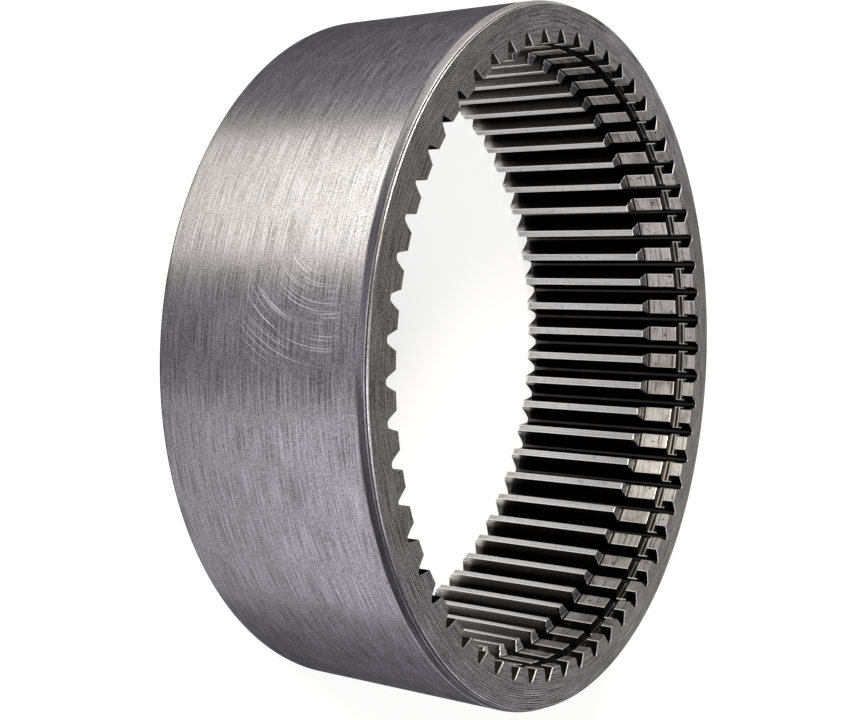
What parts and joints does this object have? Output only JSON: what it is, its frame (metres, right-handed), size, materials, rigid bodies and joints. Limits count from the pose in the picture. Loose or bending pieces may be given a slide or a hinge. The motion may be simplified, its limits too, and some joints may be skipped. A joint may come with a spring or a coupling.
{
  "type": "internal ring gear",
  "caption": "Internal ring gear: a machined steel ring with straight involute teeth inside, shortened at one end into seats with a retaining ring groove.",
  "frame": {"origin": "centre of the plain far face, on the gear's axis; the ring lies on that face", "axes": "+Z along the gear's axis, from the plain far face towards the near face with the shortened teeth and the groove; +X through the middle of a tooth space"},
  "size_m": [0.234, 0.234, 0.076],
  "materials": {
    "machined_steel": "bare turned and shaped steel, fine tool marks, light stains and hairline scratches"
  },
  "bodies": {
    "root": {"ring_gear": "machined_steel"}
  },
  "joints": []
}
